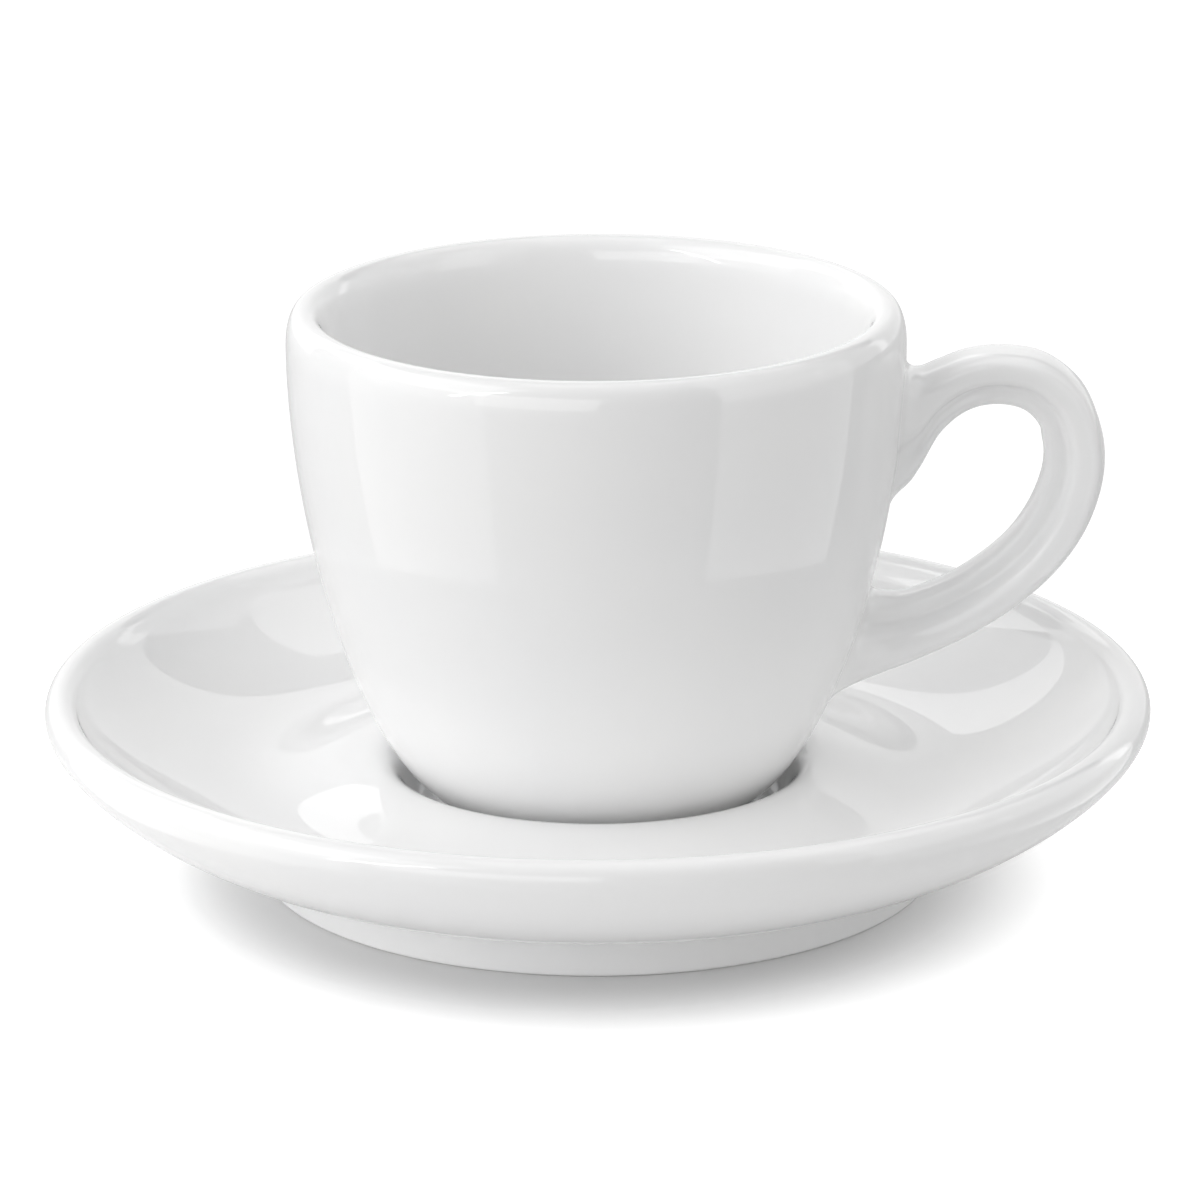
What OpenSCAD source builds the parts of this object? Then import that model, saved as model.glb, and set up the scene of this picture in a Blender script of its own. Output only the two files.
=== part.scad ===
// Espresso cup on its saucer, in thick glazed porcelain.
// Millimetres, +Z up, origin on the table under the saucer's centre, handle along +X.
// The cup's foot ring rests on the floor of the saucer's well and lifts straight out of it.
// The handle is a moulded piece of its own, luted onto the thrown body before glazing.

/* [Saucer] */
// Overall diameter of the saucer
saucer_d = 120; // [110:1:145]
// Height of the rim's crest above the table
saucer_h = 20.5; // [19:0.1:25]
// Thickness of the rolled rim
rim_thick = 3.6; // [3:0.1:5]
// Height of the rolled rim's rounded crown
rim_crown = 2.05; // [1.5:0.05:2.6]
// Diameter of the low ring where the flange meets the shelf
shelf_ring_d = 75; // [70:0.5:86]
// Height of the low ring above the table
shelf_ring_h = 10.5; // [9.5:0.1:12]
// Clearance round the cup's foot ring on the well's flat floor
well_clear = 2.2; // [1.2:0.1:3.2]
// How far the well's side runs out from its floor to the shoulder's crest
shoulder_run = 5.8; // [4.6:0.1:7]
// Height of the shoulder's crest above the well's floor
shoulder_rise = 5.65; // [4.6:0.05:6.8]
// Height of the well's floor above the table
well_h = 6.8; // [6:0.1:8]
// Thickness of the porcelain under the well's floor
well_thick = 3.8; // [3:0.1:4.6]
// Thickness of the porcelain under the shelf
shelf_thick = 5.4; // [4.5:0.1:6.4]
// Outside diameter of the saucer's foot ring
saucer_foot_d = 74; // [66:0.5:78]
// Width of the saucer's foot ring
saucer_foot_w = 3.6; // [3:0.1:5]
// Height of the flange's underside where it meets the foot ring
saucer_foot_h = 5.3; // [4.5:0.1:6.4]

/* [Cup] */
// Widest outside diameter of the cup, just under its lip
cup_d = 66.4; // [60:0.2:80]
// Height of the cup from its foot to the lip's crest
cup_h = 55.9; // [46:0.1:70]
// Thickness of the rounded lip
lip_thick = 4; // [3:0.1:4.8]
// Height of the lip's rounded crown
lip_crown = 4.2; // [3:0.1:5.5]
// Outside diameter of the cup's foot ring
cup_foot_d = 33.6; // [31:0.2:36]
// Width of the cup's foot ring
cup_foot_w = 3.2; // [2.6:0.1:4.2]
// Height of the cup's foot ring, up to the start of the wall's curve
cup_foot_h = 1.5; // [1.2:0.1:2.2]
// Height of the hollow inside the cup's foot ring
cup_foot_hollow = 1.4; // [1:0.1:2]
// Height of the floor inside the cup above its foot
cup_floor_h = 5.4; // [4.6:0.1:7]
// Slope of the cup's wall where it leaves the foot, in degrees
cup_base_slope = 24; // [20:1:32]

/* [Handle] */
// How far the handle stands out from the cup's widest part
handle_reach = 21.4; // [18:0.1:27]
// Thickness of the handle's arm, from the finger side to the outer side
handle_thick = 6.4; // [5:0.1:7.8]
// Width of the handle's arm, from face to face
handle_width = 7.6; // [6:0.1:10]

/* [Hidden] */
$fn = 240;

// Radius of the small roundings at the edges of both foot rings
edge_r = 0.5;
// Radius of the soft hollows where the foot rings meet the undersides
foot_fillet_r = 1.4;
// Points along one curve of a profile
curve_steps = 18;
// Sections along the handle, and points along half of one section
handle_steps = 54;
section_steps = 15;

// Exponent of the lip's and the rim's rounding: 2 is an ellipse, more is squarer
lip_roundness = 2.4;
rim_roundness = 2;

saucer_r = saucer_d / 2;
rim_half = rim_thick / 2;
rim_r = saucer_r - rim_half;
rim_z = saucer_h - rim_crown;
ring_r = shelf_ring_d / 2;
cup_foot_r = cup_foot_d / 2;
cup_foot_in_r = cup_foot_r - cup_foot_w;
well_r = cup_foot_r + well_clear;
shoulder_r = well_r + shoulder_run;
shoulder_h = well_h + shoulder_rise;
foot_r = saucer_foot_d / 2;
foot_in_r = foot_r - saucer_foot_w;
well_under_h = well_h - well_thick;
shelf_under_h = shoulder_h - shelf_thick;

cup_r = cup_d / 2;
lip_half = lip_thick / 2;
lip_r = cup_r - lip_half;
lip_z = cup_h - lip_crown;

// How far each profile curve runs on in its end's direction, as a share of its own span
flange_low_share = 0.34;
flange_high_share = 0.16;
under_low_share = 0.38;
under_high_share = 0.34;
shelf_share = 0.34;
well_low_share = 0.76;
well_high_share = 0.62;
well_under_share = 0.55;
hollow_share = 0.52;
wall_high_share = 0.385;
wall_low_share = 0.20;
inside_high_share = 0.46;
inside_low_share = 0.78;

// Where the rim's rounding ends on the inner side, as an angle from its crest
rim_inner_turn = 65;

// Outer edge of the handle from the upper root, inside the wall, to the lower root:
// distance from the cup's widest part as a share of the reach, height as a share of the cup's,
// lean of the section in degrees from the horizontal, thickness and width as shares of the arm's
handle_shares = [
    [-0.330, 0.895, 90, 2.75, 1.95],
    [-0.115, 0.885, 90, 2.36, 1.60],
    [0.000, 0.874, 90, 2.02, 1.30],
    [0.070, 0.869, 90, 1.66, 1.12],
    [0.165, 0.883, 91, 1.18, 1.02],
    [0.310, 0.903, 90, 0.96, 1.00],
    [0.490, 0.910, 86, 0.92, 1.00],
    [0.700, 0.895, 70, 0.97, 1.00],
    [0.880, 0.841, 46, 1.00, 1.00],
    [0.975, 0.763, 19, 1.01, 1.00],
    [1.000, 0.690, 2, 1.02, 1.00],
    [0.968, 0.615, -12, 1.03, 1.00],
    [0.885, 0.539, -25, 1.03, 1.00],
    [0.745, 0.466, -38, 1.01, 1.00],
    [0.550, 0.399, -53, 1.01, 1.00],
    [0.320, 0.343, -66, 1.03, 1.00],
    [0.070, 0.298, -76, 1.13, 1.04],
    [-0.130, 0.269, -84, 1.38, 1.20],
    [-0.290, 0.245, -92, 1.72, 1.48],
    [-0.480, 0.208, -100, 2.15, 1.90]
];

// Half of the handle's section, from the middle of the finger side to the middle of the outer side:
// place across the thickness and half width, both as shares. The finger side is a narrow bead,
// a shallow groove runs along the flank, and the outer side is the widest.
section_shares = [
    [0, 0],
    [0.005, 0.26],
    [0.035, 0.46],
    [0.100, 0.575],
    [0.190, 0.605],
    [0.300, 0.590],
    [0.400, 0.615],
    [0.510, 0.740],
    [0.620, 0.890],
    [0.730, 0.980],
    [0.820, 0.985],
    [0.900, 0.900],
    [0.965, 0.690],
    [0.995, 0.380],
    [1, 0]
];

// Point at share t of a cubic curve through a and d, drawn towards b and c
function cubic(a, b, c, d, t) =
    pow(1 - t, 3) * a + 3 * pow(1 - t, 2) * t * b + 3 * (1 - t) * t * t * c + pow(t, 3) * d;

// Points of a cubic curve, without its last one, which the next curve starts with
function curve(a, b, c, d) = [for (i = [0:curve_steps - 1]) cubic(a, b, c, d, i / curve_steps)];

// Rounded crown of half width w and height h about a point, from one angle off its crest to another
function crown(r, z, w, h, roundness, from, to) = [
    for (i = [0:curve_steps - 1])
        let (turn = from + (to - from) * i / curve_steps)
        [
            r + w * sign(sin(turn)) * pow(abs(sin(turn)), 2 / roundness),
            z + h * pow(abs(cos(turn)), 2 / roundness)
        ]
];

// Quarter of a circle about a point, without its last point
function quarter(r, z, radius, from, to) = [
    for (i = [0:3]) let (turn = from + (to - from) * i / 4) [r + radius * cos(turn), z + radius * sin(turn)]
];

// Value at place t, counted in rows, of a smooth curve through the rows of a table
function smooth(rows, t) =
    let (
        last = len(rows) - 1,
        i = min(floor(t), last - 1),
        u = t - i,
        a = rows[max(i - 1, 0)],
        b = rows[i],
        c = rows[i + 1],
        d = rows[min(i + 2, last)]
    )
    (2 * b + (c - a) * u + (2 * a - 5 * b + 4 * c - d) * u * u + (3 * b - a - 3 * c + d) * u * u * u) / 2;

// The saucer's upper side, from the middle of the well out to the rim's crown
function saucer_top() =
    let (
        well_rise = shoulder_r - well_r,
        shelf_span = ring_r - shoulder_r,
        flange_span = rim_r - ring_r,
        rim_in = [rim_r - rim_half * sin(rim_inner_turn), rim_z + rim_crown * cos(rim_inner_turn)],
        rim_run = [rim_half * cos(rim_inner_turn), rim_crown * sin(rim_inner_turn)]
            * flange_span * flange_high_share / rim_half
    )
    concat(
        [[0, well_h]],
        curve([well_r, well_h], [well_r + well_rise * well_low_share, well_h],
            [shoulder_r - well_rise * well_high_share, shoulder_h], [shoulder_r, shoulder_h]),
        curve([shoulder_r, shoulder_h], [shoulder_r + shelf_span * shelf_share, shoulder_h],
            [ring_r - shelf_span * shelf_share, shelf_ring_h], [ring_r, shelf_ring_h]),
        curve([ring_r, shelf_ring_h], [ring_r + flange_span * flange_low_share, shelf_ring_h],
            rim_in - rim_run, rim_in),
        crown(rim_r, rim_z, rim_half, rim_crown, rim_roundness, -rim_inner_turn, 90)
    );

// The saucer's underside, from the rim back to the axis
function saucer_under() =
    let (
        foot_out_r = foot_r + foot_fillet_r,
        span = saucer_r - foot_out_r,
        drop = rim_z - saucer_foot_h,
        hollow_r = foot_in_r - foot_fillet_r,
        hollow_in_r = well_r + well_thick / 2,
        hollow_mid_r = hollow_in_r + (hollow_r - hollow_in_r) * hollow_share,
        hollow_span = hollow_mid_r - hollow_in_r
    )
    concat(
        curve([saucer_r, rim_z], [saucer_r, rim_z - drop * under_high_share],
            [foot_out_r + span * under_low_share, saucer_foot_h], [foot_out_r, saucer_foot_h]),
        quarter(foot_out_r, saucer_foot_h - foot_fillet_r, foot_fillet_r, 90, 180),
        quarter(foot_r - edge_r, edge_r, edge_r, 0, -90),
        [[foot_r - edge_r, 0]],
        quarter(foot_in_r + edge_r, edge_r, edge_r, -90, -180),
        quarter(hollow_r, shelf_under_h - foot_fillet_r, foot_fillet_r, 0, 90),
        curve([hollow_mid_r, shelf_under_h], [hollow_mid_r - hollow_span * well_under_share, shelf_under_h],
            [hollow_in_r + hollow_span * well_under_share, well_under_h], [hollow_in_r, well_under_h]),
        [[hollow_in_r, well_under_h], [0, well_under_h]]
    );

// The cup's outer side, from the foot's face up to the lip's crown
function cup_outside() =
    let (
        foot_top = [cup_foot_r, cup_foot_h],
        rise = lip_z - cup_foot_h,
        slope_run = [cos(cup_base_slope), sin(cup_base_slope)] * rise * wall_low_share
    )
    concat(
        quarter(cup_foot_r - edge_r, edge_r, edge_r, -90, 0),
        curve(foot_top, foot_top + slope_run, [cup_r, lip_z - rise * wall_high_share], [cup_r, lip_z])
    );

// The cup's inner side, from the lip's crown down to the middle of its floor
function cup_inside() =
    let (in_r = lip_r - lip_half, drop = lip_z - cup_floor_h)
    concat(
        curve([in_r, lip_z], [in_r, lip_z - drop * inside_high_share],
            [in_r * inside_low_share, cup_floor_h], [0, cup_floor_h]),
        [[0, cup_floor_h]]
    );

// The hollow inside the cup's foot ring, from the axis out to the foot's face
function cup_foot_inside() =
    concat(
        [[0, cup_foot_hollow]],
        quarter(cup_foot_in_r - edge_r, cup_foot_hollow - edge_r, edge_r, 90, 0),
        quarter(cup_foot_in_r + edge_r, edge_r, edge_r, 180, 270),
        [[cup_foot_in_r + edge_r, 0]]
    );

// Solid of the cup's whole outer form, which trims the handle's roots to the wall
module cup_form() {
    translate([0, 0, well_h])
        rotate_extrude()
            polygon(concat([[0, 0]], cup_outside(), [[cup_r, lip_z], [0, lip_z]]));
}

module saucer() {
    color("white")
        rotate_extrude()
            polygon(concat(saucer_top(), saucer_under()));
}

module cup_body() {
    color("whitesmoke")
        translate([0, 0, well_h])
            rotate_extrude()
                polygon(concat(
                    cup_foot_inside(),
                    cup_outside(),
                    crown(lip_r, lip_z, lip_half, lip_crown, lip_roundness, 90, -90),
                    cup_inside()
                ));
}

// Ring of points round one section of the handle at row place t
function handle_ring(t) =
    let (
        row = smooth(handle_shares, t),
        edge = [cup_r + row[0] * handle_reach, row[1] * cup_h],
        out = [cos(row[2]), sin(row[2])],
        thick = row[3] * handle_thick,
        half = row[4] * handle_width / 2,
        last = len(section_shares) - 1,
        side = [for (k = [0:section_steps]) smooth(section_shares, last * k / section_steps)],
        place = function (share, y) [
            edge[0] - out[0] * thick * (1 - share[0]),
            y,
            edge[1] - out[1] * thick * (1 - share[0])
        ]
    )
    concat(
        [for (k = [0:section_steps]) place(side[k], -half * side[k][1])],
        [for (k = [section_steps - 1:-1:1]) place(side[k], half * side[k][1])]
    );

// Closed skin over rings of equal length, with a fan of faces over each end
module skin(rings) {
    count = len(rings[0]);
    last = len(rings) - 1;
    walls = [
        for (i = [0:last - 1], k = [0:count - 1])
            let (a = i * count + k, b = i * count + (k + 1) % count, c = a + count, d = b + count)
            each [[a, c, b], [b, c, d]]
    ];
    ends = [
        for (k = [1:count - 2])
            each [[0, k, k + 1], [last * count, last * count + k + 1, last * count + k]]
    ];
    polyhedron(points = [for (ring = rings) each ring], faces = concat(walls, ends), convexity = 6);
}

module cup_handle() {
    rows = len(handle_shares) - 1;
    color("snow")
        difference() {
            translate([0, 0, well_h])
                skin([for (i = [0:handle_steps]) handle_ring(rows * i / handle_steps)]);
            cup_form();
        }
}

saucer();
cup_body();
cup_handle();
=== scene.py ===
"""Espresso cup on its saucer in glazed porcelain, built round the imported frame.

Metres, +Z up, the handle along +X and the camera on the side of -Y.
"""

import math

import bpy
import numpy as np
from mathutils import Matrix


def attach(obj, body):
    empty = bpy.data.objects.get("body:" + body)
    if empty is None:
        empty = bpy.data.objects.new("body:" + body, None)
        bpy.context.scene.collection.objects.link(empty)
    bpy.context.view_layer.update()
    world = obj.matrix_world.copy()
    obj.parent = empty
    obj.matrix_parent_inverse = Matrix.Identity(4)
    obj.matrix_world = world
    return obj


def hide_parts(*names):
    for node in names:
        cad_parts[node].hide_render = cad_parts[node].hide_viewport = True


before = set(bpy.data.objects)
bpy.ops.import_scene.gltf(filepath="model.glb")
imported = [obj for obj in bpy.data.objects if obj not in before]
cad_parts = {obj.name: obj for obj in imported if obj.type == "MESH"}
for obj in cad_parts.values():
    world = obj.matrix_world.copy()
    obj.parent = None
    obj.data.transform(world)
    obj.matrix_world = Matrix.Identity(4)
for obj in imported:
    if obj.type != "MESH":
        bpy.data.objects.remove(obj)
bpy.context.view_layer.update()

MM = 0.001

# Sizes of the saucer, in millimetres
SAUCER_R, SAUCER_H = 60.0, 20.5
RIM_HALF, RIM_CROWN = 1.8, 2.05
SHELF_RING_R, SHELF_RING_H = 37.5, 10.5
WELL_R, WELL_H, WELL_THICK = 19.0, 6.8, 3.8
SHOULDER_R, SHOULDER_H, SHELF_THICK = 24.8, 12.45, 5.4
SAUCER_FOOT_R, SAUCER_FOOT_W, SAUCER_FOOT_H = 37.0, 3.6, 5.3

# Pulls of the saucer's curves, as shares of each curve's width, from its start and from its end
WELL_PULLS = (0.45, 0.74)
SHELF_PULL = FLANGE_PULL = UNDER_DROP_PULL = 0.34
UNDER_SPAN_PULL = 0.38
HOLLOW_PULL, HOLLOW_FLAT_SHARE = 0.55, 0.52
# Where the flange meets the rim's crown, in degrees off the crest, and its pull there
RIM_IN_TURN, RIM_IN_PULL = 65, 0.16

# Sizes of the cup, from its own foot up
CUP_R, CUP_H = 33.2, 55.9
LIP_HALF, LIP_CROWN, LIP_ROUNDNESS = 2.0, 4.2, 2.4
CUP_FOOT_R, CUP_FOOT_W, CUP_FOOT_H = 16.8, 3.2, 1.5
CUP_FOOT_HOLLOW, CUP_FLOOR_H, CUP_BASE_SLOPE = 1.4, 5.4, 24.0

# Pulls of the cup's outer and inner curves, as shares of their height, and of the floor's width
WALL_LOW_PULL, WALL_HIGH_PULL = 0.20, 0.385
INSIDE_PULL, FLOOR_PULL = 0.46, 0.78

EDGE_R, FOOT_FILLET_R = 0.5, 1.4
TURN_STEPS = 224
# Highest level that counts as a foot's ground face, and the least distance between points
GROUND_FACE_H, SAME_POINT = 0.06, 1e-6

# Sizes of the handle, and how far its closed ends reach into the wall
HANDLE_REACH, HANDLE_THICK, HANDLE_WIDTH = 21.4, 6.4, 7.6
ROOT_DEPTH = 1.2
# The glazed fillet at its roots: its length on the handle and on the wall, its pull, how far
# its edge is sunk in the wall, and the short steps over which directions and slopes are taken
FILLET_RUN, FILLET_SPREAD, FILLET_PULL, FILLET_SINK = 1.5, 1.15, 0.62, 0.015
WAY_STEP, SLOPE_STEP = 0.3, 0.05
HANDLE_STEPS, SECTION_STEPS, HANDLE_RINGS, FILLET_STEPS = 900, 36, 150, 14

# Outer edge of the handle from the upper root to the lower one: distance from the cup's widest
# part as a share of the reach, height as a share of the cup's, lean in degrees, thickness and
# width as shares
HANDLE_SHARES = np.array([
    (-0.330, 0.895, 90, 2.75, 1.95),
    (-0.115, 0.885, 90, 2.36, 1.60),
    (0.000, 0.874, 90, 2.02, 1.30),
    (0.070, 0.869, 90, 1.66, 1.12),
    (0.165, 0.883, 91, 1.18, 1.02),
    (0.310, 0.903, 90, 0.96, 1.00),
    (0.490, 0.910, 86, 0.92, 1.00),
    (0.700, 0.895, 70, 0.97, 1.00),
    (0.880, 0.841, 46, 1.00, 1.00),
    (0.975, 0.763, 19, 1.01, 1.00),
    (1.000, 0.690, 2, 1.02, 1.00),
    (0.968, 0.615, -12, 1.03, 1.00),
    (0.885, 0.539, -25, 1.03, 1.00),
    (0.745, 0.466, -38, 1.01, 1.00),
    (0.550, 0.399, -53, 1.01, 1.00),
    (0.320, 0.343, -66, 1.03, 1.00),
    (0.070, 0.298, -76, 1.13, 1.04),
    (-0.130, 0.269, -84, 1.38, 1.20),
    (-0.290, 0.245, -92, 1.72, 1.48),
    (-0.480, 0.208, -100, 2.15, 1.90),
])

# Half of the handle's section from the finger side to the outer side: place across, half width
SECTION_SHARES = np.array([
    (0, 0), (0.005, 0.26), (0.035, 0.46), (0.100, 0.575), (0.190, 0.605), (0.300, 0.565),
    (0.380, 0.605), (0.445, 0.780), (0.510, 0.905), (0.600, 0.955), (0.720, 0.985),
    (0.820, 0.975), (0.900, 0.895), (0.965, 0.690), (0.995, 0.380), (1, 0),
])

# The table's colour, which holds painted light and shade: painted contact shade at the saucer's
# foot, and a painted pool of light that is palest round the cup and greyer far off. And the white
# added where the camera sees it, which rises from a little way out and is painted light that fades
# the saucer's shadow out: distance in millimetres, level
TABLE_PAINTED_FOOT_SHADE, TABLE_PAINTED_POOL, TABLE_FAR = (38, 0.74), (56, 0.92), (125, 0.45)
PAINTED_GLOW_NEAR, PAINTED_GLOW_FAR = (31, 0), (60, 0.60)
# Where the distance is counted from: the axis, and for the white a place a little in front of it
# and to its left, which sets where its painted light fades the saucer's shadow out
AXIS, PAINTED_GLOW_CENTRE = (0, 0, 0), (-3, -6, 0)
# Share of that white that the glaze mirrors, and the room's level
GLOW_IN_GLAZE = 0.25
ROOM = 0.17
# Half the table's side, in millimetres
TABLE_HALF = 4000

# Metres from the lamps to the point that they are aimed at, and its height
LAMP_DISTANCE, LAMP_AIM_H = 1.5, 0.03
# The lean in degrees of the strip lamp
KEY_LEAN = -36
BACKDROP_W, BACKDROP_H, BACKDROP_Y = 2.56, 0.67, 1.0

# The camera that gives the photograph's view: metres, millimetres of lens, degrees
CAMERA_PLACE, CAMERA_PITCH, CAMERA_ROLL = (0, -0.6504, 0.2319), 17.272, -0.243
CAMERA_LENS, CAMERA_SENSOR, CAMERA_SHIFT = 188.6, 36, 0.0023
CAMERA_CLIP = (0.01, 20)
# Times that light is followed from one matt surface to the next
DIFFUSE_BOUNCES = 12


def curve(a, b, c, d, steps=40):
    """Points of a cubic curve through a and d, drawn towards b and c, without its last point."""
    a, b, c, d = (np.array(p, float) for p in (a, b, c, d))
    t = np.linspace(0, 1, steps, endpoint=False)[:, None]
    return list((1 - t) ** 3 * a + 3 * (1 - t) ** 2 * t * b + 3 * (1 - t) * t * t * c + t ** 3 * d)


def level_curve(start, end, pull_out, pull_in, steps=40):
    """A curve that leaves one point and reaches another level, drawn out by a distance at each."""
    return curve(start, (start[0] + pull_out, start[1]), (end[0] - pull_in, end[1]), end, steps)


def crown(r, z, w, h, roundness, start, end, steps=40):
    """Rounded crown about a point, from one angle off its crest to another."""
    turn = np.radians(np.linspace(start, end, steps, endpoint=False))
    s, c = np.sin(turn), np.cos(turn)
    across = r + w * np.sign(s) * np.abs(s) ** (2 / roundness)
    up = z + h * np.abs(c) ** (2 / roundness)
    return list(np.stack([across, up], 1))


def quarter(r, z, radius, start, end, steps=8):
    """Part of a circle about a point, without its last point."""
    turn = np.radians(np.linspace(start, end, steps, endpoint=False))
    return list(np.stack([r + radius * np.cos(turn), z + radius * np.sin(turn)], 1))


def run(a, b, steps):
    """Points of a straight line from a to b, without its last point."""
    t = np.linspace(0, 1, steps, endpoint=False)[:, None]
    return list(np.array(a, float) + t * (np.array(b, float) - np.array(a, float)))


def smooth(rows, t):
    """Values at places t, counted in rows, of a smooth curve through the rows of a table."""
    t = np.atleast_1d(np.asarray(t, float))
    last = len(rows) - 1
    i = np.minimum(np.floor(t).astype(int), last - 1)
    u = (t - i)[:, None]
    a, b = rows[np.maximum(i - 1, 0)], rows[i]
    c, d = rows[i + 1], rows[np.minimum(i + 2, last)]
    return (
        2 * b
        + (c - a) * u
        + (2 * a - 5 * b + 4 * c - d) * u * u
        + (3 * b - a - 3 * c + d) * u ** 3
    ) / 2


def saucer_profile():
    """The saucer's outline, from the middle of the well out over the rim and back to the axis."""
    well, shoulder = (WELL_R, WELL_H), (SHOULDER_R, SHOULDER_H)
    shelf_ring = (SHELF_RING_R, SHELF_RING_H)
    rim_r, rim_z = SAUCER_R - RIM_HALF, SAUCER_H - RIM_CROWN
    rise, shelf = SHOULDER_R - WELL_R, SHELF_RING_R - SHOULDER_R
    flange = rim_r - SHELF_RING_R
    turn = math.radians(RIM_IN_TURN)
    s, c = math.sin(turn), math.cos(turn)
    rim_in = np.array([rim_r - RIM_HALF * s, rim_z + RIM_CROWN * c])
    rim_run = np.array([RIM_HALF * c, RIM_CROWN * s]) * flange * RIM_IN_PULL / RIM_HALF
    foot_in, foot_out = SAUCER_FOOT_R - SAUCER_FOOT_W, SAUCER_FOOT_R + FOOT_FILLET_R
    span, drop = SAUCER_R - foot_out, rim_z - SAUCER_FOOT_H
    hollow, hollow_in = foot_in - FOOT_FILLET_R, WELL_R + WELL_THICK / 2
    hollow_mid = hollow_in + (hollow - hollow_in) * HOLLOW_FLAT_SHARE
    hollow_pull = (hollow_mid - hollow_in) * HOLLOW_PULL
    under_z, shelf_z = WELL_H - WELL_THICK, SHOULDER_H - SHELF_THICK
    fillet_z = SAUCER_FOOT_H - FOOT_FILLET_R
    return (
        run((0, WELL_H), well, 12)
        + level_curve(well, shoulder, rise * WELL_PULLS[0], rise * WELL_PULLS[1])
        + level_curve(shoulder, shelf_ring, shelf * SHELF_PULL, shelf * SHELF_PULL)
        + curve(
            shelf_ring,
            (SHELF_RING_R + flange * FLANGE_PULL, SHELF_RING_H),
            rim_in - rim_run,
            rim_in,
            56,
        )
        + crown(rim_r, rim_z, RIM_HALF, RIM_CROWN, 2, -RIM_IN_TURN, 90)
        + curve(
            (SAUCER_R, rim_z),
            (SAUCER_R, rim_z - drop * UNDER_DROP_PULL),
            (foot_out + span * UNDER_SPAN_PULL, SAUCER_FOOT_H),
            (foot_out, SAUCER_FOOT_H),
            56,
        )
        + quarter(foot_out, fillet_z, FOOT_FILLET_R, 90, 180, 12)
        + run((SAUCER_FOOT_R, fillet_z), (SAUCER_FOOT_R, EDGE_R), 6)
        + quarter(SAUCER_FOOT_R - EDGE_R, EDGE_R, EDGE_R, 0, -90)
        + run((SAUCER_FOOT_R - EDGE_R, 0), (foot_in + EDGE_R, 0), 6)
        + quarter(foot_in + EDGE_R, EDGE_R, EDGE_R, -90, -180)
        + run((foot_in, EDGE_R), (foot_in, shelf_z - FOOT_FILLET_R), 6)
        + quarter(hollow, shelf_z - FOOT_FILLET_R, FOOT_FILLET_R, 0, 90, 12)
        + run((hollow, shelf_z), (hollow_mid, shelf_z), 6)
        + level_curve((hollow_mid, shelf_z), (hollow_in, under_z), -hollow_pull, -hollow_pull, 24)
        + run((hollow_in, under_z), (0, under_z), 8)
        + [(0, under_z)]
    )


def wall_profile():
    """The cup's outer side from the foot's face up to the lip, from its own foot."""
    lip_z = CUP_H - LIP_CROWN
    rise = lip_z - CUP_FOOT_H
    slope = math.radians(CUP_BASE_SLOPE)
    start = np.array([CUP_FOOT_R, CUP_FOOT_H])
    low = start + np.array([math.cos(slope), math.sin(slope)]) * rise * WALL_LOW_PULL
    high = (CUP_R, lip_z - rise * WALL_HIGH_PULL)
    return (
        quarter(CUP_FOOT_R - EDGE_R, EDGE_R, EDGE_R, -90, 0)
        + run((CUP_FOOT_R, EDGE_R), (CUP_FOOT_R, CUP_FOOT_H), 4)
        + curve(start, low, high, (CUP_R, lip_z), 90)
    )


def cup_profile():
    """The cup's outline, from the middle of its underside round the lip to the middle of its
    floor."""
    foot_in = CUP_FOOT_R - CUP_FOOT_W
    lip_r, lip_z = CUP_R - LIP_HALF, CUP_H - LIP_CROWN
    in_r, drop = lip_r - LIP_HALF, lip_z - CUP_FLOOR_H
    return (
        run((0, CUP_FOOT_HOLLOW), (foot_in - EDGE_R, CUP_FOOT_HOLLOW), 6)
        + quarter(foot_in - EDGE_R, CUP_FOOT_HOLLOW - EDGE_R, EDGE_R, 90, 0)
        + quarter(foot_in + EDGE_R, EDGE_R, EDGE_R, 180, 270)
        + run((foot_in + EDGE_R, 0), (CUP_FOOT_R - EDGE_R, 0), 6)
        + wall_profile()
        + crown(lip_r, lip_z, LIP_HALF, LIP_CROWN, LIP_ROUNDNESS, 90, -90, 64)
        + curve(
            (in_r, lip_z),
            (in_r, lip_z - drop * INSIDE_PULL),
            (in_r * FLOOR_PULL, CUP_FLOOR_H),
            (0, CUP_FLOOR_H),
            90,
        )
        + [(0, CUP_FLOOR_H)]
    )


def make_mesh(name, points, faces, materials, slots=None):
    """A smooth mesh object from points in millimetres."""
    mesh = bpy.data.meshes.new(name)
    mesh.from_pydata([tuple(p) for p in np.asarray(points) * MM], [], faces)
    mesh.validate()
    for material in materials:
        mesh.materials.append(material)
    mesh.polygons.foreach_set("use_smooth", [True] * len(mesh.polygons))
    if slots is not None:
        mesh.polygons.foreach_set("material_index", slots)
    mesh.update()
    obj = bpy.data.objects.new(name, mesh)
    bpy.context.scene.collection.objects.link(obj)
    return obj


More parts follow.
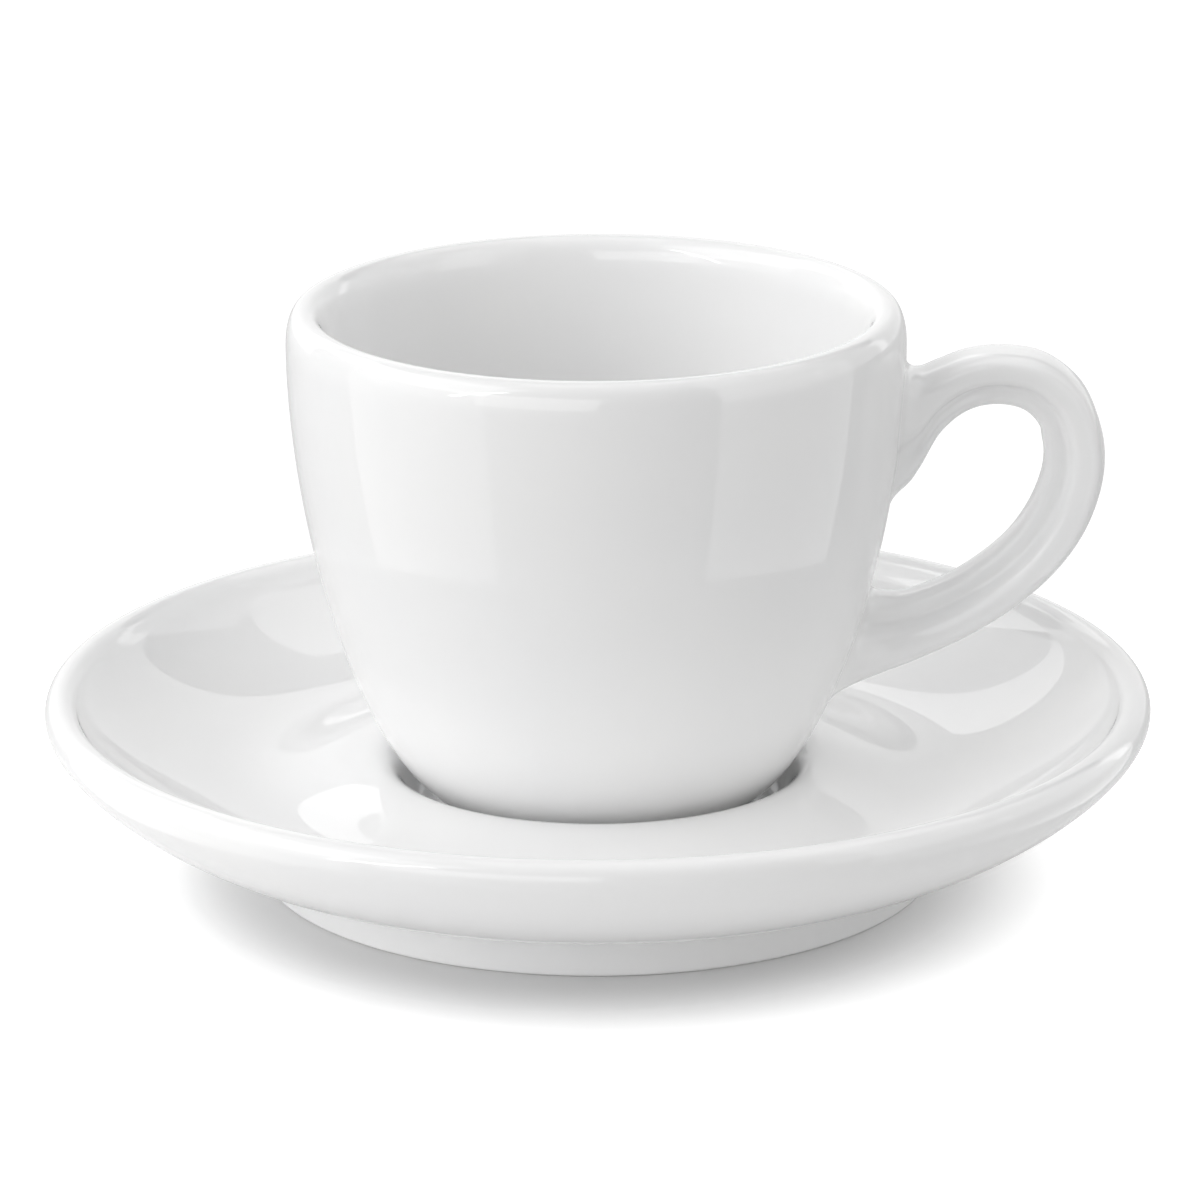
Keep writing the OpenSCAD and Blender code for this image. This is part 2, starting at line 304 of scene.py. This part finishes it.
def turned(name, profile, lift, materials, bare):
    """A solid of revolution. The faces of the foot's ground face, which lie outside the bare
    radius, get the second material."""
    profile = np.array([
        p for i, p in enumerate(profile)
        if i == 0 or np.hypot(*(np.array(p) - profile[i - 1])) > SAME_POINT
    ], float)
    inner = profile[1:-1]
    count = len(inner)
    turn = np.arange(TURN_STEPS) * 2 * math.pi / TURN_STEPS
    circle = np.stack([np.cos(turn), np.sin(turn)], 1)
    points = [(0, 0, profile[0][1] + lift)]
    for r, z in inner:
        points += [(r * c, r * s, z + lift) for c, s in circle]
    points.append((0, 0, profile[-1][1] + lift))
    faces, slots = [], []
    last = len(points) - 1
    top = 1 + (count - 1) * TURN_STEPS
    for j in range(TURN_STEPS):
        n = (j + 1) % TURN_STEPS
        faces.append((0, 1 + j, 1 + n))
        slots.append(0)
        for i in range(count - 1):
            a, b = 1 + i * TURN_STEPS, 1 + (i + 1) * TURN_STEPS
            faces.append((a + j, b + j, b + n, a + n))
            (r_a, z_a), (r_b, z_b) = inner[i], inner[i + 1]
            slots.append(1 if max(z_a, z_b) < GROUND_FACE_H and min(r_a, r_b) > bare else 0)
        faces.append((top + j, last, top + n))
        slots.append(0)
    return make_mesh(name, points, faces, materials, slots)


def handle_lines():
    """Points of the handle's skin before it meets the wall: one line along it for each place
    round its section."""
    row = smooth(HANDLE_SHARES, np.linspace(0, len(HANDLE_SHARES) - 1, HANDLE_STEPS))
    places = np.linspace(0, len(SECTION_SHARES) - 1, SECTION_STEPS + 1)
    half_section = smooth(SECTION_SHARES, places)
    section = np.concatenate([half_section * (1, -1), half_section[-2:0:-1]])
    lean = np.radians(row[:, 2])
    lines = []
    for place, width in section:
        back = row[:, 3] * HANDLE_THICK * (1 - place)
        lines.append(np.stack([
            CUP_R + row[:, 0] * HANDLE_REACH - np.cos(lean) * back,
            row[:, 4] * HANDLE_WIDTH / 2 * width,
            row[:, 1] * CUP_H - np.sin(lean) * back,
        ], 1))
    return np.array(lines)


def at_places(places, known, rows):
    """Values of a table's three columns at given places between its known ones."""
    return np.array([np.interp(places, known, rows[:, k]) for k in range(3)])


def unit(rows):
    """Each row of an array as a direction of length 1."""
    return rows / np.linalg.norm(rows, axis=1)[:, None]


def root_fillet(lines, order, wall_r):
    """One root of the handle, followed from its middle in an order of 1 or -1: the place along
    each line where its skin ends, and the rings of the fillet that runs on from there."""
    middle = lines.shape[1] // 2
    hits, starts, places, ways = [], [], [], []
    for line in lines:
        part = line[middle::order]
        index = middle + order * np.arange(len(part))
        out = np.hypot(part[:, 0], part[:, 1]) - wall_r(part[:, 2])
        first = int(np.argmax(out < 0))
        share = out[first - 1] / (out[first - 1] - out[first])
        hit = part[first - 1] + (part[first] - part[first - 1]) * share
        part, index = part[:first], index[:first]
        steps = np.linalg.norm(np.diff(part, axis=0), axis=1)
        length = np.concatenate([[0], np.cumsum(steps)])
        at = length[-1] + np.linalg.norm(hit - part[-1]) - FILLET_RUN
        start = at_places(at, length, part)
        hits.append(hit)
        starts.append(start)
        places.append(np.interp(at, length, index))
        ways.append(start - at_places(at - WAY_STEP, length, part))
    hits, starts, ways = np.array(hits), np.array(starts), unit(np.array(ways))
    centre = (hits.min(0) + hits.max(0)) / 2
    above, below = wall_r(hits[:, 2] + SLOPE_STEP), wall_r(hits[:, 2] - SLOPE_STEP)
    slope = (above - below) / (2 * SLOPE_STEP)
    normal = unit(np.concatenate([unit(hits[:, :2]), -slope[:, None]], 1))
    away = hits - centre
    away = unit(away - (away * normal).sum(1)[:, None] * normal)
    ends = hits + away * FILLET_SPREAD
    angle = np.arctan2(ends[:, 1], ends[:, 0])
    r = wall_r(ends[:, 2]) - FILLET_SINK
    ends = np.stack([r * np.cos(angle), r * np.sin(angle), ends[:, 2]], 1)
    b = starts + ways * FILLET_RUN * FILLET_PULL
    c = ends - away * FILLET_SPREAD * FILLET_PULL
    rings = []
    for t in np.linspace(0, 1, FILLET_STEPS + 1)[1:]:
        u = 1 - t
        rings.append(u ** 3 * starts + 3 * u ** 2 * t * b + 3 * u * t * t * c + t ** 3 * ends)
    return np.array(places), rings


def handle_mesh(name, lift, materials):
    """The handle with a soft glazed fillet where each root runs out onto the cup's wall."""
    wall = np.array(wall_profile())
    wall = wall[np.argsort(wall[:, 1])]

    def wall_r(z):
        return np.interp(z, wall[:, 1], wall[:, 0])

    lines = handle_lines()
    from_place, upper = root_fillet(lines, -1, wall_r)
    to_place, lower = root_fillet(lines, 1, wall_r)
    known = np.arange(lines.shape[1])
    body = []
    for s in np.linspace(0, 1, HANDLE_RINGS):
        place = from_place + (to_place - from_place) * s
        body.append(np.array([at_places(p, known, line) for p, line in zip(place, lines)]))
    stack = upper[::-1] + body + lower
    count = len(lines)
    points = np.concatenate(stack) + (0, 0, lift)
    faces = []
    for i in range(len(stack) - 1):
        for k in range(count):
            n = (k + 1) % count
            a, b = i * count, (i + 1) * count
            faces.append((a + n, a + k, b + k, b + n))
    # both ends are closed inside the cup's wall
    for first, order in ((0, 1), ((len(stack) - 1) * count, -1)):
        middle = points[first:first + count].mean(0) - (ROOT_DEPTH, 0, 0)
        points = np.concatenate([points, [middle]])
        for k in range(count):
            edge = (first + k, first + (k + 1) % count)[::order]
            faces.append((*edge, len(points) - 1))
    return make_mesh(name, points, faces, materials)


def nodes_of(name):
    """A new node material with its nodes, links and shader."""
    material = bpy.data.materials.new(name)
    material.use_nodes = True
    tree = material.node_tree
    return material, tree.nodes, tree.links, tree.nodes["Principled BSDF"]


def set_inputs(node, **values):
    """Set a node's inputs. An underscore in a name stands for a space."""
    for key, value in values.items():
        node.inputs[key.replace("_", " ")].default_value = value


def noise(nodes, links, coords, scale, detail):
    """A noise over the object's own coordinates."""
    node = nodes.new("ShaderNodeTexNoise")
    set_inputs(node, Scale=scale, Detail=detail)
    links.new(coords.outputs["Object"], node.inputs["Vector"])
    return node.outputs["Fac"]


def tone(nodes, links, fac, shader, low, high):
    """Base colour between two tones, each given by its place in the noise and its colour."""
    ramp = nodes.new("ShaderNodeValToRGB")
    for element, (place, colour) in zip(ramp.color_ramp.elements, (low, high)):
        element.position = place
        element.color = (*colour, 1)
    links.new(fac, ramp.inputs["Fac"])
    links.new(ramp.outputs["Color"], shader.inputs["Base Color"])


def relief(nodes, links, fac, shader, strength, distance):
    """Bump of the surface from a noise."""
    bump = nodes.new("ShaderNodeBump")
    set_inputs(bump, Strength=strength, Distance=distance)
    links.new(fac, bump.inputs["Height"])
    links.new(bump.outputs["Normal"], shader.inputs["Normal"])


def glaze_material():
    """Clear gloss glaze over white porcelain, with the slight unevenness of a fired glaze."""
    material, nodes, links, shader = nodes_of("glazed_porcelain")
    coords = nodes.new("ShaderNodeTexCoord")
    shader.inputs["IOR"].default_value = 1.5
    # body colour, very slightly cooler in places
    tint = noise(nodes, links, coords, 38, 3)
    tone(nodes, links, tint, shader, (0.35, (0.860, 0.861, 0.863)), (0.7, (0.876, 0.875, 0.872)))
    # gloss, a little uneven
    haze = noise(nodes, links, coords, 140, 4)
    rough = nodes.new("ShaderNodeMapRange")
    set_inputs(rough, From_Min=0.3, From_Max=0.7, To_Min=0.004, To_Max=0.016)
    links.new(haze, rough.inputs["Value"])
    links.new(rough.outputs["Result"], shader.inputs["Roughness"])
    # the glaze's long low waves
    relief(nodes, links, noise(nodes, links, coords, 60, 1), shader, 0.05, 0.0002)
    return material


def bisque_material():
    """Bare porcelain on the foot rings' ground faces: matt, fine-grained, slightly warmer."""
    material, nodes, links, shader = nodes_of("bare_porcelain")
    coords = nodes.new("ShaderNodeTexCoord")
    grain = noise(nodes, links, coords, 2600, 5)
    tone(nodes, links, grain, shader, (0.3, (0.62, 0.60, 0.57)), (0.75, (0.74, 0.73, 0.70)))
    shader.inputs["Roughness"].default_value = 0.72
    relief(nodes, links, grain, shader, 0.5, 0.00006)
    return material


def floor_material():
    """Studio table with painted light and shade in its colour: painted contact shade at the
    saucer's foot and a painted pool of light round the cup. Where the camera sees it, white is
    added from a little way out, as painted light that fades the saucer's shadow out, and it is
    white all round further off.
    """
    material, nodes, links, shader = nodes_of("studio_table")
    shader.inputs["Roughness"].default_value = 0.9
    shader.inputs["Specular IOR Level"].default_value = 0.1
    coords = nodes.new("ShaderNodeTexCoord")

    def by_reach(near, far, centre):
        """A level that goes from near's to far's with the distance from a centre."""
        reach = nodes.new("ShaderNodeVectorMath")
        reach.operation = "DISTANCE"
        links.new(coords.outputs["Object"], reach.inputs[0])
        reach.inputs[1].default_value = [v * MM for v in centre]
        level = nodes.new("ShaderNodeMapRange")
        level.interpolation_type = "SMOOTHSTEP"
        set_inputs(
            level, From_Min=near[0] * MM, To_Min=near[1], From_Max=far[0] * MM, To_Max=far[1]
        )
        links.new(reach.outputs["Value"], level.inputs["Value"])
        return level.outputs["Result"]

    def reckon(operation, *terms):
        """A Math node over sockets and numbers."""
        node = nodes.new("ShaderNodeMath")
        node.operation = operation
        for socket, term in zip(node.inputs, terms):
            if isinstance(term, (int, float)):
                socket.default_value = term
            else:
                links.new(term, socket)
        return node.outputs[0]

    # painted light and shade: the table's colour is darker at the saucer's foot as painted contact
    # shade, and palest round the cup as a painted pool of light
    colour = reckon(
        "MINIMUM", by_reach(TABLE_PAINTED_FOOT_SHADE, TABLE_PAINTED_POOL, AXIS), by_reach(TABLE_PAINTED_POOL, TABLE_FAR, AXIS)
    )
    links.new(colour, shader.inputs["Base Color"])
    rays = nodes.new("ShaderNodeLightPath").outputs
    seen = reckon("MULTIPLY_ADD", rays["Is Glossy Ray"], GLOW_IN_GLAZE, rays["Is Camera Ray"])
    # painted light: the white for the camera rises with the distance from a little way out and
    # fades the saucer's shadow out
    painted_glow_level = reckon("MULTIPLY", by_reach(PAINTED_GLOW_NEAR, PAINTED_GLOW_FAR, PAINTED_GLOW_CENTRE), seen)
    shader.inputs["Emission Color"].default_value = (1, 1, 1, 1)
    links.new(painted_glow_level, shader.inputs["Emission Strength"])
    return material


def lamp(name, width, height, radiance):
    """A rectangular area light that gives a set radiance."""
    light = bpy.data.lights.new(name, "AREA")
    light.shape = "RECTANGLE"
    light.size, light.size_y = width, height
    light.energy = radiance * math.pi * width * height
    obj = bpy.data.objects.new(name, light)
    obj.visible_camera = False
    bpy.context.scene.collection.objects.link(obj)
    return obj


def softbox(name, azimuth, elevation, width, height, radiance):
    """A soft light aimed at the cup. Azimuth 0 is the camera's side and 90 is the handle's."""
    obj = lamp(name, width, height, radiance)
    a, e = math.radians(azimuth), math.radians(elevation)
    obj.location = (
        LAMP_DISTANCE * math.sin(a) * math.cos(e),
        -LAMP_DISTANCE * math.cos(a) * math.cos(e),
        LAMP_AIM_H + LAMP_DISTANCE * math.sin(e),
    )
    obj.rotation_euler = (math.pi / 2 - e, 0, a)
    return obj


def ring(name, elevation, width, height, levels):
    """Soft lights round the cup at one height, from the azimuth and radiance of each."""
    for azimuth, radiance in levels:
        softbox(f"{name}_{azimuth}", azimuth, elevation, width, height, radiance)


def reflector(name, azimuth, distance, back, front, top, radiance):
    """A card standing close beside the saucer that shows in the glaze only. Back and front are
    its ends, in millimetres from the point of it that is nearest to the cup."""
    obj = lamp(name, (front - back) * MM, top * MM, radiance)
    a = math.radians(azimuth)
    along = math.copysign((front + back) / 2, -azimuth)
    obj.location = (
        (distance * math.sin(a) + along * math.cos(a)) * MM,
        (along * math.sin(a) - distance * math.cos(a)) * MM,
        top / 2 * MM,
    )
    obj.rotation_euler = (math.pi / 2, 0, a)
    obj.visible_diffuse = False


def room_world():
    """A dim room, plain white to the camera."""
    world = bpy.data.worlds.new("studio")
    world.use_nodes = True
    nodes, links = world.node_tree.nodes, world.node_tree.links
    nodes.clear()
    rays = nodes.new("ShaderNodeLightPath")
    level = nodes.new("ShaderNodeMapRange")
    set_inputs(level, To_Min=ROOM)
    links.new(rays.outputs["Is Camera Ray"], level.inputs["Value"])
    room = nodes.new("ShaderNodeBackground")
    set_inputs(room, Color=(1, 1, 1, 1))
    links.new(level.outputs["Result"], room.inputs["Strength"])
    out = nodes.new("ShaderNodeOutputWorld")
    links.new(room.outputs["Background"], out.inputs["Surface"])
    return world


glaze, bisque = glaze_material(), bisque_material()

# the set
saucer = turned(
    "saucer_glazed", saucer_profile(), 0, [glaze, bisque], SAUCER_FOOT_R - SAUCER_FOOT_W
)
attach(saucer, "saucer")
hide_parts("saucer")

cup = turned(
    "cup_body_glazed", cup_profile()[::-1], WELL_H, [glaze, bisque], CUP_FOOT_R - CUP_FOOT_W
)
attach(cup, "cup")
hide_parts("cup_body")

handle = handle_mesh("cup_handle_glazed", WELL_H, [glaze])
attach(handle, "cup")
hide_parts("cup_handle")

# the studio
corners = [(x * TABLE_HALF, y * TABLE_HALF, 0) for x, y in ((-1, -1), (1, -1), (1, 1), (-1, 1))]
table = make_mesh("studio_table", corners, [(0, 1, 2, 3)], [floor_material()])
bpy.context.scene.world = room_world()

softbox("left", -68, 36, 1.50, 1.00, 1.9)
# a leaning strip, mirrored as the long thin streak on the handle's lower arm
key = softbox("key", -45, 21, 0.07, 0.80, 10)
key.rotation_euler.rotate_axis("Z", math.radians(KEY_LEAN))
ring("low", 12, 1.24, 0.64, ((-112, 0.4), (-68, 1.0), (-22, 1.9), (68, 1.15), (112, 1.05)))
ring("mid", 36, 1.00, 0.64, ((-158, 0.8), (-112, 2.1), (68, 0.75), (112, 0.7)))
ring("high", 62, 1.10, 0.75, ((-45, 0.3), (45, 0.6), (135, 1.05)))
softbox("top", 0, 90, 0.75, 0.75, 1.05)
reflector("card_left", -71, 66, -9.7, 51.4, 150, 0.7)
reflector("card_right", 77, 68, -9.7, 56.2, 150, 0.8)
backdrop = lamp("backdrop", BACKDROP_W, BACKDROP_H, 0.9)
backdrop.location = (0, BACKDROP_Y, BACKDROP_H / 2)
backdrop.rotation_euler = (math.pi / 2, 0, math.pi)

camera_data = bpy.data.cameras.new("camera")
camera = bpy.data.objects.new("camera", camera_data)
bpy.context.scene.collection.objects.link(camera)
bpy.context.scene.camera = camera
camera_data.sensor_width = CAMERA_SENSOR
camera_data.lens = CAMERA_LENS
camera_data.shift_x = CAMERA_SHIFT
camera_data.clip_start, camera_data.clip_end = CAMERA_CLIP
camera.location = CAMERA_PLACE
camera.rotation_euler = (math.radians(90 - CAMERA_PITCH), 0, 0)
camera.rotation_euler.rotate_axis("Z", math.radians(CAMERA_ROLL))

# light goes to and fro many times in the narrow ring round the cup's foot
bpy.context.scene.cycles.diffuse_bounces = DIFFUSE_BOUNCES
bpy.context.scene.view_settings.view_transform = "Standard"
